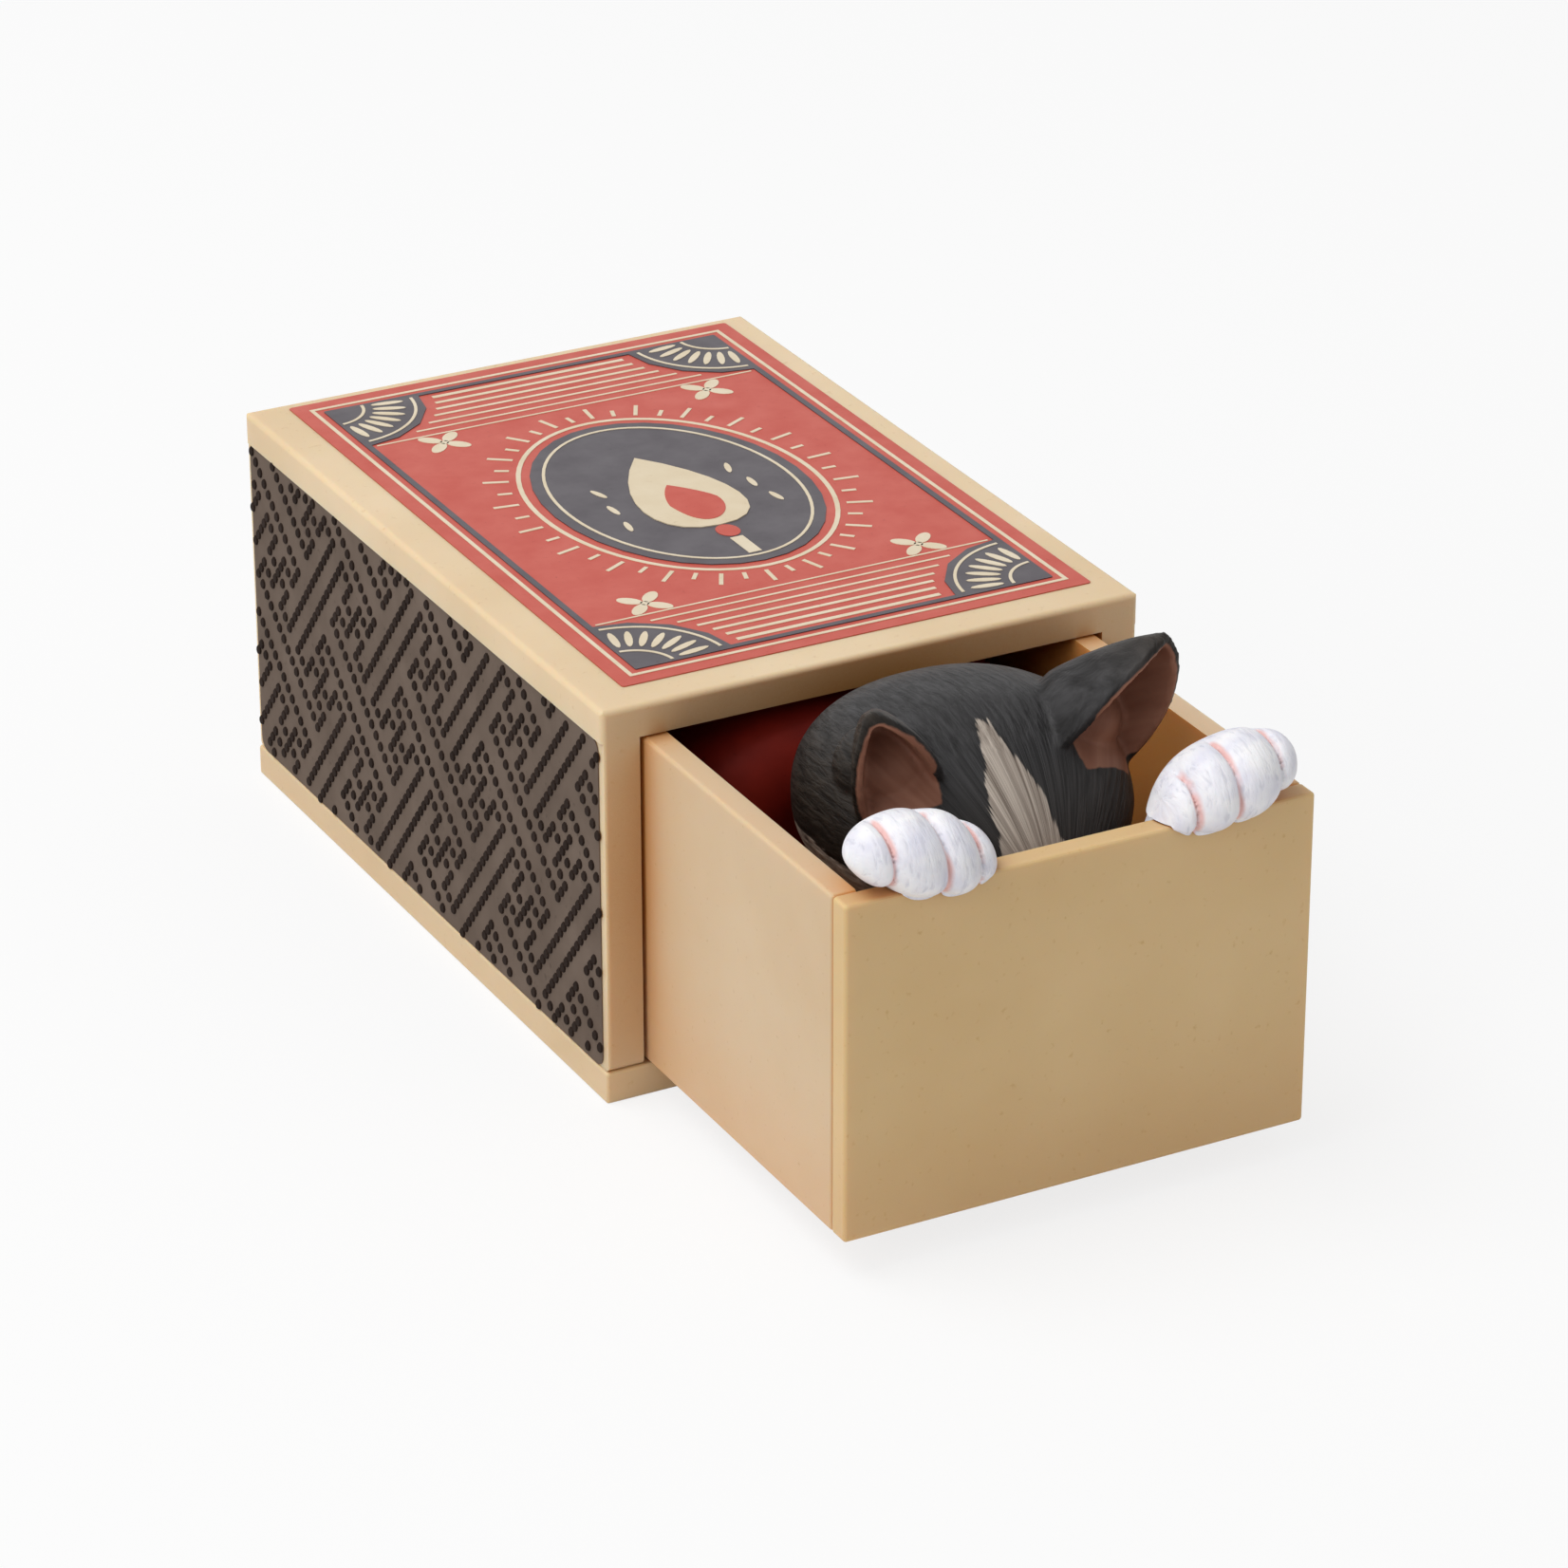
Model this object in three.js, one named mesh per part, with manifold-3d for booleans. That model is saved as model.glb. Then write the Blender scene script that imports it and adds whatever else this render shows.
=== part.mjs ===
// A moulded toy matchbox, 50 mm long: a sleeve with a printed label and two striker panels,
// and a drawer that slides out of it with a cat looking over the drawer's front.
// Millimetres, +Z up. The origin is the middle of the sleeve's underside, and the drawer opens towards -Y.
import * as THREE from 'three';
import { mergeVertices } from 'three/addons/utils/BufferGeometryUtils.js';
import Module from 'manifold-3d';

const wasm = await Module();
wasm.setup();

// Sleeve
const sleeveWidth = 35;
const sleeveLength = 50;
const sleeveHeight = 25;
const basePlate = 2;
const topPlate = 2;
const sideWall = 2.25;
const wallSetback = 0.15;
const edgeRound = 0.35;
const wallFootRound = 0.5;

// Drawer
const pullOut = 23.7;
const drawerLength = 49.5;
const sideClearance = 0.3;
const heightClearance = 0.15;
const drawerWall = 1.5;
const drawerFloor = 1.5;
const frontSlab = 1.5;
const drawerRound = 0.22;

// Print on the top
const labelWidth = 30.7;
const labelLength = 46.6;
const labelShiftX = 0.45;
const labelShiftY = 0.8;
const printFilm = 0.06;
const frameInset = 1.65;
const frameLine = 0.4;
const cornerFan = 6.4;
const medallionWidth = 16.4;
const medallionLength = 23;
const flameWidth = 6.4;
const flameLength = 11.5;

// Striker panels: a coat of paint with a key-fret of raised ink
const strikerFrontMargin = 0.7;
const strikerRearMargin = 0.4;
const strikerEdgeGap = 0.02;
const strikerCorner = 0.8;
const strikerCoat = 0.07;
const fretRise = 0.1;
const fretLine = 0.46;
const fretStepDown = 0.796;
const fretStepUp = 0.752;
const fretTilt = THREE.MathUtils.degToRad(-40.3);
const fretStartAcross = 14.68;
const fretStartUp = 15.88;

// Cat, placed from the front of the drawer and from its rim
const headHalfWidth = 9.7;
const headHalfDepth = 9.3;
const headHalfHeight = 6.6;
const headBehindFront = 13.1;
const headBelowRim = 2.35;
const earBaseX = 6.2;
const earBaseBehindFront = 10.5;
const earBaseAboveRim = 0.15;
const earTipX = 9.5;
const earTipBehindFront = 7.4;
const earTipAboveRim = 7.65;
const earHalfWidth = 3.5;
const earHalfThickness = 2.4;
const muzzleGap = 0.35;
const neckBehindFront = 21.9;
const backHalfWidth = 8.7;
const backHalfDepth = 6.6;
const backBehindFront = 27.7;
const backBelowRim = 0.55;
const backShoulder = 3.6;
const pawCentreX = 9.5;
const pawBehindFront = 1.4;
const pawAboveRim = 1.5;
const pawHalfWidth = 4.5;
const pawHalfDepth = 3.1;
const pawHalfHeight = 2.55;
const pawGap = 0.1;
const forelegX = 7.8;
const forelegBehindFront = 3.7;
const forelegAboveRim = 1.15;
const forelegHalfWidth = 2.7;
const forelegHalfDepth = 2;

// Places worked out from the sizes above
const wallTop = sleeveHeight - topPlate;
const wallOuter = sleeveWidth / 2 - wallSetback;
const wallInner = wallOuter - sideWall;
const drawerWidth = 2 * (wallInner - sideClearance);
const drawerBottom = basePlate + heightClearance;
const drawerTop = wallTop - heightClearance;
const frontFaceY = -sleeveLength / 2 - pullOut;
const slabBackY = frontFaceY + frontSlab;
const floorTop = drawerBottom + drawerFloor;
const headCentreY = frontFaceY + headBehindFront;
const headCentreZ = drawerTop - headBelowRim;
const neckPlaneY = frontFaceY + neckBehindFront;
const earTipZ = drawerTop + earTipAboveRim;

const paint = (color, roughness) => new THREE.MeshStandardMaterial({ color, roughness, metalness: 0 });
const creamPlastic = paint(0xd9b98c, 0.45);
const labelRed = paint(0xb9503c, 0.5);
const labelDark = paint(0x45414a, 0.5);
const labelCream = paint(0xe0cfae, 0.5);
const strikerPaint = paint(0x6a5d55, 0.7);
const blackFur = paint(0x2a2a2c, 0.6);
const redPaint = paint(0x5a140c, 0.55);
const whiteFur = paint(0xe6e3e8, 0.55);

// Solids for joining and cutting
function solidOf(geometry) {
  const bare = geometry.clone();
  bare.deleteAttribute('normal');
  bare.deleteAttribute('uv');
  const joined = mergeVertices(bare, 1e-4);
  return new wasm.Manifold(new wasm.Mesh({
    numProp: 3,
    vertProperties: new Float32Array(joined.attributes.position.array),
    triVerts: new Uint32Array(joined.index.array),
  }));
}

function geometryOf(solid) {
  const data = solid.getMesh();
  const geometry = new THREE.BufferGeometry();
  geometry.setAttribute('position', new THREE.BufferAttribute(new Float32Array(data.vertProperties), 3));
  geometry.setIndex(new THREE.BufferAttribute(new Uint32Array(data.triVerts), 1));
  geometry.computeVertexNormals();
  return geometry;
}

function named(name, geometry, material) {
  const mesh = new THREE.Mesh(geometry, material);
  mesh.name = name;
  return mesh;
}

// A box given by its lowest and highest corner
function block(x0, y0, z0, x1, y1, z1) {
  const box = new THREE.BoxGeometry(x1 - x0, y1 - y0, z1 - z0);
  return box.translate((x0 + x1) / 2, (y0 + y1) / 2, (z0 + z1) / 2);
}

// A rectangle with round corners, centred on the origin
function roundedRectangle(width, height, radius) {
  const x = width / 2;
  const y = height / 2;
  const shape = new THREE.Shape();
  shape.moveTo(-x + radius, -y);
  shape.lineTo(x - radius, -y);
  shape.absarc(x - radius, -y + radius, radius, -Math.PI / 2, 0);
  shape.lineTo(x, y - radius);
  shape.absarc(x - radius, y - radius, radius, 0, Math.PI / 2);
  shape.lineTo(-x + radius, y);
  shape.absarc(-x + radius, y - radius, radius, Math.PI / 2, Math.PI);
  shape.lineTo(-x, -y + radius);
  shape.absarc(-x + radius, -y + radius, radius, Math.PI, Math.PI * 1.5);
  return shape;
}

// A slab with all its edges rounded, given by its lowest and highest corner, seen along Z
function softSlab(x0, y0, z0, x1, y1, z1, radius) {
  const outline = roundedRectangle(x1 - x0 - 2 * radius, y1 - y0 - 2 * radius, radius * 0.1);
  const slab = new THREE.ExtrudeGeometry(outline, {
    depth: z1 - z0 - 2 * radius,
    bevelSize: radius,
    bevelThickness: radius,
    bevelSegments: 3,
    curveSegments: 2,
  });
  return slab.translate((x0 + x1) / 2, (y0 + y1) / 2, z0 + radius);
}

// The cover is one moulding: the top plate and both side walls, with soft edges all round
function coverMoulding() {
  const r = edgeRound;
  const foot = wallFootRound;
  const x = sleeveWidth / 2;
  const section = new THREE.Shape();
  section.moveTo(x - r, sleeveHeight);
  section.absarc(x - r, sleeveHeight - r, r, Math.PI / 2, 0, true);
  section.lineTo(x, wallTop);
  section.lineTo(wallOuter, wallTop);
  section.lineTo(wallOuter, basePlate);
  section.lineTo(wallInner, basePlate);
  section.lineTo(wallInner, wallTop);
  section.lineTo(-wallInner, wallTop);
  section.lineTo(-wallInner, basePlate);
  section.lineTo(-wallOuter, basePlate);
  section.lineTo(-wallOuter, wallTop);
  section.lineTo(-x, wallTop);
  section.lineTo(-x, sleeveHeight - r);
  section.absarc(-x + r, sleeveHeight - r, r, Math.PI, Math.PI / 2, true);
  const plain = { bevelEnabled: false, curveSegments: 4 };
  const bar = new THREE.ExtrudeGeometry(section, { ...plain, depth: sleeveLength });
  bar.rotateX(Math.PI / 2);
  bar.translate(0, sleeveLength / 2, 0);

  // Seen from the side the moulding has round top corners and round feet
  const y = sleeveLength / 2;
  const outline = new THREE.Shape();
  outline.moveTo(-y + foot, basePlate);
  outline.lineTo(y - foot, basePlate);
  outline.absarc(y - foot, basePlate + foot, foot, -Math.PI / 2, 0);
  outline.lineTo(y, sleeveHeight - r);
  outline.absarc(y - r, sleeveHeight - r, r, 0, Math.PI / 2);
  outline.lineTo(-y + r, sleeveHeight);
  outline.absarc(-y + r, sleeveHeight - r, r, Math.PI / 2, Math.PI);
  outline.lineTo(-y, basePlate + foot);
  outline.absarc(-y + foot, basePlate + foot, foot, Math.PI, Math.PI * 1.5);
  const side = new THREE.ExtrudeGeometry(outline, { ...plain, depth: sleeveWidth + 2 });
  side.rotateX(Math.PI / 2);
  side.rotateZ(Math.PI / 2);
  side.translate(-sleeveWidth / 2 - 1, 0, 0);

  // Seen from above its four corners are round
  const plan = new THREE.ExtrudeGeometry(
    roundedRectangle(sleeveWidth, sleeveLength, r),
    { ...plain, depth: sleeveHeight + 2 },
  );
  plan.translate(0, 0, -1);
  return solidOf(bar).intersect(solidOf(side)).intersect(solidOf(plan));
}

// The base plate closes the sleeve below and shows as a strip all round
function baseMoulding() {
  return softSlab(
    -sleeveWidth / 2, -sleeveLength / 2, 0,
    sleeveWidth / 2, sleeveLength / 2, basePlate, edgeRound / 2,
  );
}

// The fret is drawn in steps: c counts steps down the falling lines, r steps down the rising ones
const fretStrokes = [
  [0, 0, 14, 0], [0, 3, 14, 3], [16, -6, 16, 9], [18, -6, 18, 9],
  [0, -4, 4, -4], [2, -6, 2, -2], [10, -4, 14, -4], [12, -6, 12, -2],
  [0, -4, 0, -6], [0, -6, -2, -6], [4, -4, 4, -2], [4, -2, 6, -2],
  [2, -6, 4, -6], [4, -6, 4, -8], [2, -2, 0, -2], [0, -2, 0, 0],
  [14, -4, 14, -6], [14, -6, 16, -6], [10, -4, 10, -2], [10, -2, 8, -2],
  [12, -6, 10, -6], [10, -6, 10, -8], [12, -2, 14, -2], [14, -2, 14, 0],
];
const fretRepeatC = 10;
const fretRepeatR = 11;

const strikerLength = sleeveLength - strikerFrontMargin - strikerRearMargin;
const strikerHeight = wallTop - basePlate - 2 * strikerEdgeGap;

// The panel lies in its own frame: x towards its front end, y up, z out of the wall
function strikerCoating() {
  const outline = roundedRectangle(strikerLength, strikerHeight, strikerCorner);
  const flat = { bevelEnabled: false, curveSegments: 4 };
  let coat = solidOf(new THREE.ExtrudeGeometry(outline, { ...flat, depth: strikerCoat }));
  const limit = solidOf(new THREE.ExtrudeGeometry(outline, { ...flat, depth: strikerCoat + fretRise }));
  const startX = strikerLength / 2 + strikerFrontMargin - fretStartAcross;
  const startY = fretStartUp - (wallTop - basePlate) / 2;
  const reach = strikerLength / 2 + strikerHeight;
  const bars = [];
  const place = (c, r) => [
    startX + c * fretStepDown * Math.cos(fretTilt) + r * fretStepUp * Math.sin(fretTilt),
    startY + c * fretStepDown * Math.sin(fretTilt) - r * fretStepUp * Math.cos(fretTilt),
  ];
  for (let m = -7; m <= 7; m += 1) {
    for (let n = -7; n <= 7; n += 1) {
      const shiftC = (m + n) * fretRepeatC;
      const shiftR = (m - n) * fretRepeatR;
      for (const [c0, r0, c1, r1] of fretStrokes) {
        const [x0, y0] = place(c0 + shiftC, r0 + shiftR);
        const [x1, y1] = place(c1 + shiftC, r1 + shiftR);
        const middleX = (x0 + x1) / 2;
        const middleY = (y0 + y1) / 2;
        const run = Math.hypot(x1 - x0, y1 - y0);
        const near = Math.abs(middleX) < strikerLength / 2 + run / 2
          && Math.abs(middleY) < strikerHeight / 2 + run / 2;
        if (near && Math.hypot(middleX, middleY) < reach) {
          const bar = new THREE.BoxGeometry(run + fretLine, fretLine, fretRise * 2);
          bar.rotateZ(Math.atan2(y1 - y0, x1 - x0));
          bar.translate(middleX, middleY, strikerCoat);
          bars.push(solidOf(bar));
        }
      }
    }
  }
  const fret = bars.reduce((all, bar) => all.add(bar));
  coat = coat.add(fret).intersect(limit);
  return coat.simplify(0.002);
}

// The drawer's tray: floor, two sides and a back, open at its front end
function trayMoulding() {
  const x = drawerWidth / 2;
  const y0 = slabBackY;
  const y1 = frontFaceY + drawerLength;
  const outer = solidOf(softSlab(-x, y0, drawerBottom, x, y1, drawerTop, drawerRound));
  const inner = solidOf(block(
    -x + drawerWall, y0 - 1, floorTop,
    x - drawerWall, y1 - drawerWall, drawerTop + 1,
  ));
  return outer.subtract(inner);
}

// The drawer's front is a slab of its own, glued across the tray's open end
function frontMoulding() {
  return softSlab(
    -drawerWidth / 2, frontFaceY, drawerBottom,
    drawerWidth / 2, slabBackY, drawerTop, drawerRound,
  );
}

// Print on the top plate, one film on another
const filmZ = (layer) => sleeveHeight + layer * printFilm;

function film(shape, layer, curveSegments = 2) {
  const sheet = new THREE.ExtrudeGeometry(shape, { depth: printFilm, bevelEnabled: false, curveSegments });
  return sheet.translate(labelShiftX, labelShiftY, filmZ(layer));
}

// A thin line round the field, with a quarter disc of the same ink in each corner
function labelFrame() {
  const halfWidth = labelWidth / 2 - frameInset;
  const halfLength = labelLength / 2 - frameInset;
  const deep = { depth: 1, bevelEnabled: false, curveSegments: 8 };
  const window = new THREE.ExtrudeGeometry(
    roundedRectangle(2 * (halfWidth - frameLine), 2 * (halfLength - frameLine), frameLine / 4),
    { ...deep, curveSegments: 2 },
  );
  let opening = solidOf(window);
  for (const sx of [-1, 1]) {
    for (const sy of [-1, 1]) {
      const fan = new THREE.Shape();
      fan.absarc(sx * halfWidth, sy * halfLength, cornerFan, 0, Math.PI * 2);
      const disc = new THREE.ExtrudeGeometry(fan, { ...deep, depth: 3 });
      opening = opening.subtract(solidOf(disc.translate(0, 0, -1)));
    }
  }
  const sheet = solidOf(film(roundedRectangle(2 * halfWidth, 2 * halfLength, frameLine / 4), 1));
  return sheet.subtract(opening.translate([labelShiftX, labelShiftY, sleeveHeight]));
}

function medallion() {
  const oval = new THREE.Shape();
  oval.absellipse(0, 0, medallionWidth / 2, medallionLength / 2, 0, Math.PI * 2);
  return film(oval, 1, 16);
}

function flame() {
  const w = flameWidth / 2;
  const l = flameLength / 2;
  const drop = new THREE.Shape();
  drop.moveTo(0, -l);
  drop.bezierCurveTo(w * 1.4, -l, w * 1.3, l * 0.1, 0, l);
  drop.bezierCurveTo(-w * 1.3, l * 0.1, -w * 1.4, -l, 0, -l);
  return film(drop, 2, 10);
}

// An egg shape with its own half-sizes
function egg(centre, halves, around = 20, down = 14) {
  const ball = new THREE.SphereGeometry(1, around, down);
  return solidOf(ball.rotateX(Math.PI / 2).scale(...halves).translate(...centre));
}

function ear(side) {
  const baseY = frontFaceY + earBaseBehindFront;
  const base = new THREE.Vector3(side * earBaseX, baseY, drawerTop + earBaseAboveRim);
  const tip = new THREE.Vector3(side * earTipX, frontFaceY + earTipBehindFront, earTipZ);
  const up = tip.clone().sub(base);
  const profile = [[0, 0], [1, 0], [0.86, 0.35], [0.56, 0.7], [0.22, 0.94], [0, 1]];
  const cone = new THREE.LatheGeometry(profile.map(([r, h]) => new THREE.Vector2(r, h * up.length())), 16);
  cone.scale(earHalfWidth, 1, earHalfThickness);
  const upright = up.clone().normalize();
  const outward = new THREE.Vector3(side, 0.45, -0.6);
  const across = outward.sub(upright.clone().multiplyScalar(outward.dot(upright))).normalize();
  const facing = new THREE.Vector3().crossVectors(across, upright);
  const turn = new THREE.Matrix4().makeBasis(across, upright, facing).setPosition(base);
  return solidOf(cone.applyMatrix4(turn));
}

// Head, ears, muzzle and chest are one moulding, flat where the back joins it and where it stands
function headMoulding() {
  const muzzleHalfDepth = 3;
  const muzzleY = slabBackY + muzzleGap + muzzleHalfDepth;
  const skull = egg([0, headCentreY, headCentreZ], [headHalfWidth, headHalfDepth, headHalfHeight], 32, 22);
  const muzzle = egg([0, muzzleY, headCentreZ - 5.2], [4.2, muzzleHalfDepth, 3.2]);
  const jaw = egg([0, headCentreY, headCentreZ - 4.2], [8.2, headHalfDepth - 1.2, 6]);
  const chest = egg([0, headCentreY + 2, floorTop + 6], [6.8, headHalfDepth - 1.5, 10]);
  const room = solidOf(block(
    -drawerWidth / 2, slabBackY, floorTop,
    drawerWidth / 2, neckPlaneY, earTipZ + 1,
  ));
  return skull.add(muzzle).add(jaw).add(chest).add(ear(-1)).add(ear(1)).intersect(room);
}

// The rounded form behind the head
function backMoulding() {
  const height = drawerTop - backBelowRim - floorTop;
  const profile = [new THREE.Vector2(0, 0), new THREE.Vector2(1, 0)];
  const steps = 6;
  for (let i = 0; i <= steps; i += 1) {
    const turn = (i / steps) * Math.PI / 2;
    const inset = (1 - Math.cos(turn)) * backShoulder / backHalfWidth * 1.6;
    profile.push(new THREE.Vector2(1 - inset, height - backShoulder + backShoulder * Math.sin(turn)));
  }
  profile.push(new THREE.Vector2(0, height));
  const loaf = new THREE.LatheGeometry(profile, 28);
  loaf.rotateX(Math.PI / 2);
  loaf.scale(backHalfWidth, backHalfDepth, 1);
  loaf.translate(0, frontFaceY + backBehindFront, floorTop);
  const room = solidOf(block(-drawerWidth / 2, neckPlaneY, 0, drawerWidth / 2, sleeveLength / 2, drawerTop));
  return solidOf(loaf).intersect(room);
}

// A paw lies over the front slab, and its foreleg stands on the drawer's floor behind it
function pawMoulding(side) {
  const paw = egg(
    [side * pawCentreX, frontFaceY + pawBehindFront, drawerTop + pawAboveRim],
    [pawHalfWidth, pawHalfDepth, pawHalfHeight],
  );
  const forelegTop = drawerTop + forelegAboveRim;
  const forelegMiddle = (forelegTop + floorTop) / 2 - 1;
  const foreleg = egg(
    [side * forelegX, frontFaceY + forelegBehindFront, forelegMiddle],
    [forelegHalfWidth, forelegHalfDepth, forelegTop - forelegMiddle],
  );
  const underFloor = solidOf(block(
    -drawerWidth, frontFaceY - pawHalfDepth, -sleeveHeight,
    drawerWidth, neckPlaneY, floorTop,
  ));
  const slab = solidOf(block(
    -drawerWidth, frontFaceY - pawGap, 0,
    drawerWidth, slabBackY + pawGap, drawerTop + pawGap,
  ));
  return paw.add(foreleg).subtract(slab).subtract(underFloor);
}

const sleeve = new THREE.Group();
sleeve.add(named('sleeve_cover', geometryOf(coverMoulding()), creamPlastic));
sleeve.add(named('base_plate', baseMoulding(), creamPlastic));

const strikerMiddleY = (strikerFrontMargin - strikerRearMargin) / 2;
for (const [name, side] of [['striker_left', -1], ['striker_right', 1]]) {
  const panel = named(name, geometryOf(strikerCoating()), strikerPaint);
  const towardsEnd = new THREE.Vector3(0, side, 0);
  const upwards = new THREE.Vector3(0, 0, 1);
  const outwards = new THREE.Vector3(side, 0, 0);
  panel.quaternion.setFromRotationMatrix(new THREE.Matrix4().makeBasis(towardsEnd, upwards, outwards));
  panel.position.set(side * wallOuter, strikerMiddleY, (wallTop + basePlate) / 2);
  sleeve.add(panel);
}

sleeve.add(named('label_red_print', film(roundedRectangle(labelWidth, labelLength, 0.2), 0), labelRed));
sleeve.add(named('label_dark_frame', geometryOf(labelFrame()), labelDark));
sleeve.add(named('label_medallion', medallion(), labelDark));
sleeve.add(named('label_flame', flame(), labelCream));

const drawer = new THREE.Group();
drawer.add(named('drawer_tray', geometryOf(trayMoulding()), creamPlastic));
drawer.add(named('drawer_front', frontMoulding(), creamPlastic));
drawer.add(named('cat_head', geometryOf(headMoulding()), blackFur));
drawer.add(named('cat_back', geometryOf(backMoulding()), redPaint));
drawer.add(named('left_paw', geometryOf(pawMoulding(-1)), whiteFur));
drawer.add(named('right_paw', geometryOf(pawMoulding(1)), whiteFur));

const matchbox = new THREE.Group();
matchbox.add(sleeve, drawer);
export default matchbox;
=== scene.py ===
import math

import bmesh
import bpy
from mathutils import Matrix, Vector
from mathutils.bvhtree import BVHTree


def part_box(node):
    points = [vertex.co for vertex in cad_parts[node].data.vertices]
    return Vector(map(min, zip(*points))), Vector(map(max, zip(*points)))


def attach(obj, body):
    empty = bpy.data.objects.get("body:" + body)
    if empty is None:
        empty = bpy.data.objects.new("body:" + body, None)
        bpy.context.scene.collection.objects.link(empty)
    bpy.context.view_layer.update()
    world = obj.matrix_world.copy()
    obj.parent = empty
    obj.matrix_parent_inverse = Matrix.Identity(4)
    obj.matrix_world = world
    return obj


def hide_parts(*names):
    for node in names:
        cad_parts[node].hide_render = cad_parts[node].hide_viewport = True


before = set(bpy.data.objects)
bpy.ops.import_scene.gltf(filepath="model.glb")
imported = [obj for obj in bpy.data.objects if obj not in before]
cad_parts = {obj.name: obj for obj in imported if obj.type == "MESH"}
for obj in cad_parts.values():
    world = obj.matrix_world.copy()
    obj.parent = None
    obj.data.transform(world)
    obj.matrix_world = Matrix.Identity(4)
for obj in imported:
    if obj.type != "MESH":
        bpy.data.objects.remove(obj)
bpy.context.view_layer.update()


# View
# A long lens looks down on the box from its front left corner, as a catalogue picture does.
# The box stands on the floor, and the view's middle lies a little behind the sleeve's mouth.
MM = 0.001
view_azimuth = math.radians(-27.9)
view_elevation = math.radians(25.93)
view_roll = math.radians(-0.1)
view_distance = 362.8 * MM
view_shift = Vector((-5.26, 14.93)) * MM
view_origin = Vector((0, -25, 0)) * MM
view_focal = 6485 / 1652
film_width = 36

view_back = Vector((
    math.sin(view_azimuth) * math.cos(view_elevation),
    -math.cos(view_azimuth) * math.cos(view_elevation),
    math.sin(view_elevation),
))
view_right = Vector((math.cos(view_azimuth), math.sin(view_azimuth), 0))
view_up = view_back.cross(view_right)
camera_right = view_right * math.cos(view_roll) + view_up * math.sin(view_roll)
camera_up = view_up * math.cos(view_roll) - view_right * math.sin(view_roll)
camera_data = bpy.data.cameras.new("view_camera")
camera_data.sensor_width = film_width
camera_data.lens = film_width * view_focal
camera_data.clip_start = 0.01
camera_data.clip_end = 20
camera = bpy.data.objects.new("view_camera", camera_data)
camera_turn = Matrix((camera_right, camera_up, view_back)).transposed().to_4x4()
camera_place = (
    view_origin + camera_right * view_shift.x + camera_up * view_shift.y + view_back * view_distance
)
camera.matrix_world = Matrix.Translation(camera_place) @ camera_turn
bpy.context.collection.objects.link(camera)
bpy.context.scene.camera = camera
bpy.context.scene.view_settings.view_transform = "Standard"


# Moulded cream plastic
# The cover, the base plate, the tray and its front are injection mouldings in one cream plastic.
# It lets a little light in, so thin rims glow, and flow in the mould leaves faint clouds in its colour. Its
# hollows carry a painted warm shade, and the drawer's front a painted darker shade.
def rgb(red, green, blue):
    """A display colour, 0 to 255, as the linear values that a shader takes."""
    def linear(value):
        value /= 255
        return value / 12.92 if value <= 0.04045 else ((value + 0.055) / 1.055) ** 2.4
    return (linear(red), linear(green), linear(blue), 1)


def new_group(name, inputs, outputs):
    """An empty shader group with the named sockets; returns it with its input and output nodes."""
    group = bpy.data.node_groups.new(name, "ShaderNodeTree")
    for label, kind, value in inputs:
        socket = group.interface.new_socket(name=label, in_out="INPUT", socket_type=kind)
        socket.default_value = value
    for label, kind in outputs:
        group.interface.new_socket(name=label, in_out="OUTPUT", socket_type=kind)
    entry = group.nodes.new("NodeGroupInput")
    leave = group.nodes.new("NodeGroupOutput")
    return group, entry, leave


def add_node(tree, kind, values=(), links=()):
    """A node with input values by name or index, and links from other sockets to its inputs."""
    node = tree.nodes.new(kind)
    for key, value in values:
        node.inputs[key].default_value = value
    for source, key in links:
        tree.links.new(source, node.inputs[key])
    return node


def mix_colors(tree, factor, first, second, blend="MIX"):
    """Mix two colours; each argument is a socket or a plain value."""
    node = tree.nodes.new("ShaderNodeMix")
    node.data_type = "RGBA"
    node.blend_type = blend
    for key, value in ((0, factor), (6, first), (7, second)):
        if isinstance(value, bpy.types.NodeSocket):
            tree.links.new(value, node.inputs[key])
        else:
            node.inputs[key].default_value = value
    return node.outputs[2]


def map_range(tree, value, low, high, to_low=0.0, to_high=1.0):
    node = tree.nodes.new("ShaderNodeMapRange")
    tree.links.new(value, node.inputs["Value"])
    node.inputs["From Min"].default_value = low
    node.inputs["From Max"].default_value = high
    node.inputs["To Min"].default_value = to_low
    node.inputs["To Max"].default_value = to_high
    return node.outputs["Result"]


# Clouds of two tones, with fine specks and a fine grain, for every moulded or painted surface
FLOAT, COLOR, VECTOR = "NodeSocketFloat", "NodeSocketColor", "NodeSocketVector"
surface_group, surface_in, surface_out = new_group(
    "clouded_surface",
    (
        ("Place", VECTOR, (0, 0, 0)),
        ("Tone", COLOR, (0.8, 0.8, 0.8, 1)),
        ("Cloud Tone", COLOR, (0.7, 0.7, 0.7, 1)),
        ("Cloud Size", FLOAT, 120.0),
        ("Grain Size", FLOAT, 2500.0),
        ("Roughness", FLOAT, 0.45),
    ),
    (("Color", COLOR), ("Roughness", FLOAT), ("Height", FLOAT)),
)
clouds = add_node(
    surface_group, "ShaderNodeTexNoise", (("Detail", 3.0), ("Roughness", 0.55)),
    ((surface_in.outputs["Place"], "Vector"), (surface_in.outputs["Cloud Size"], "Scale")),
)
grain = add_node(
    surface_group, "ShaderNodeTexNoise", (("Detail", 2.0),),
    ((surface_in.outputs["Place"], "Vector"), (surface_in.outputs["Grain Size"], "Scale")),
)
cloud_share = map_range(surface_group, clouds.outputs["Fac"], 0.3, 0.7)
clouded = mix_colors(
    surface_group, cloud_share, surface_in.outputs["Tone"], surface_in.outputs["Cloud Tone"],
)
speck_share = map_range(surface_group, grain.outputs["Fac"], 0.66, 0.8, 0.0, 0.35)
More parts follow.
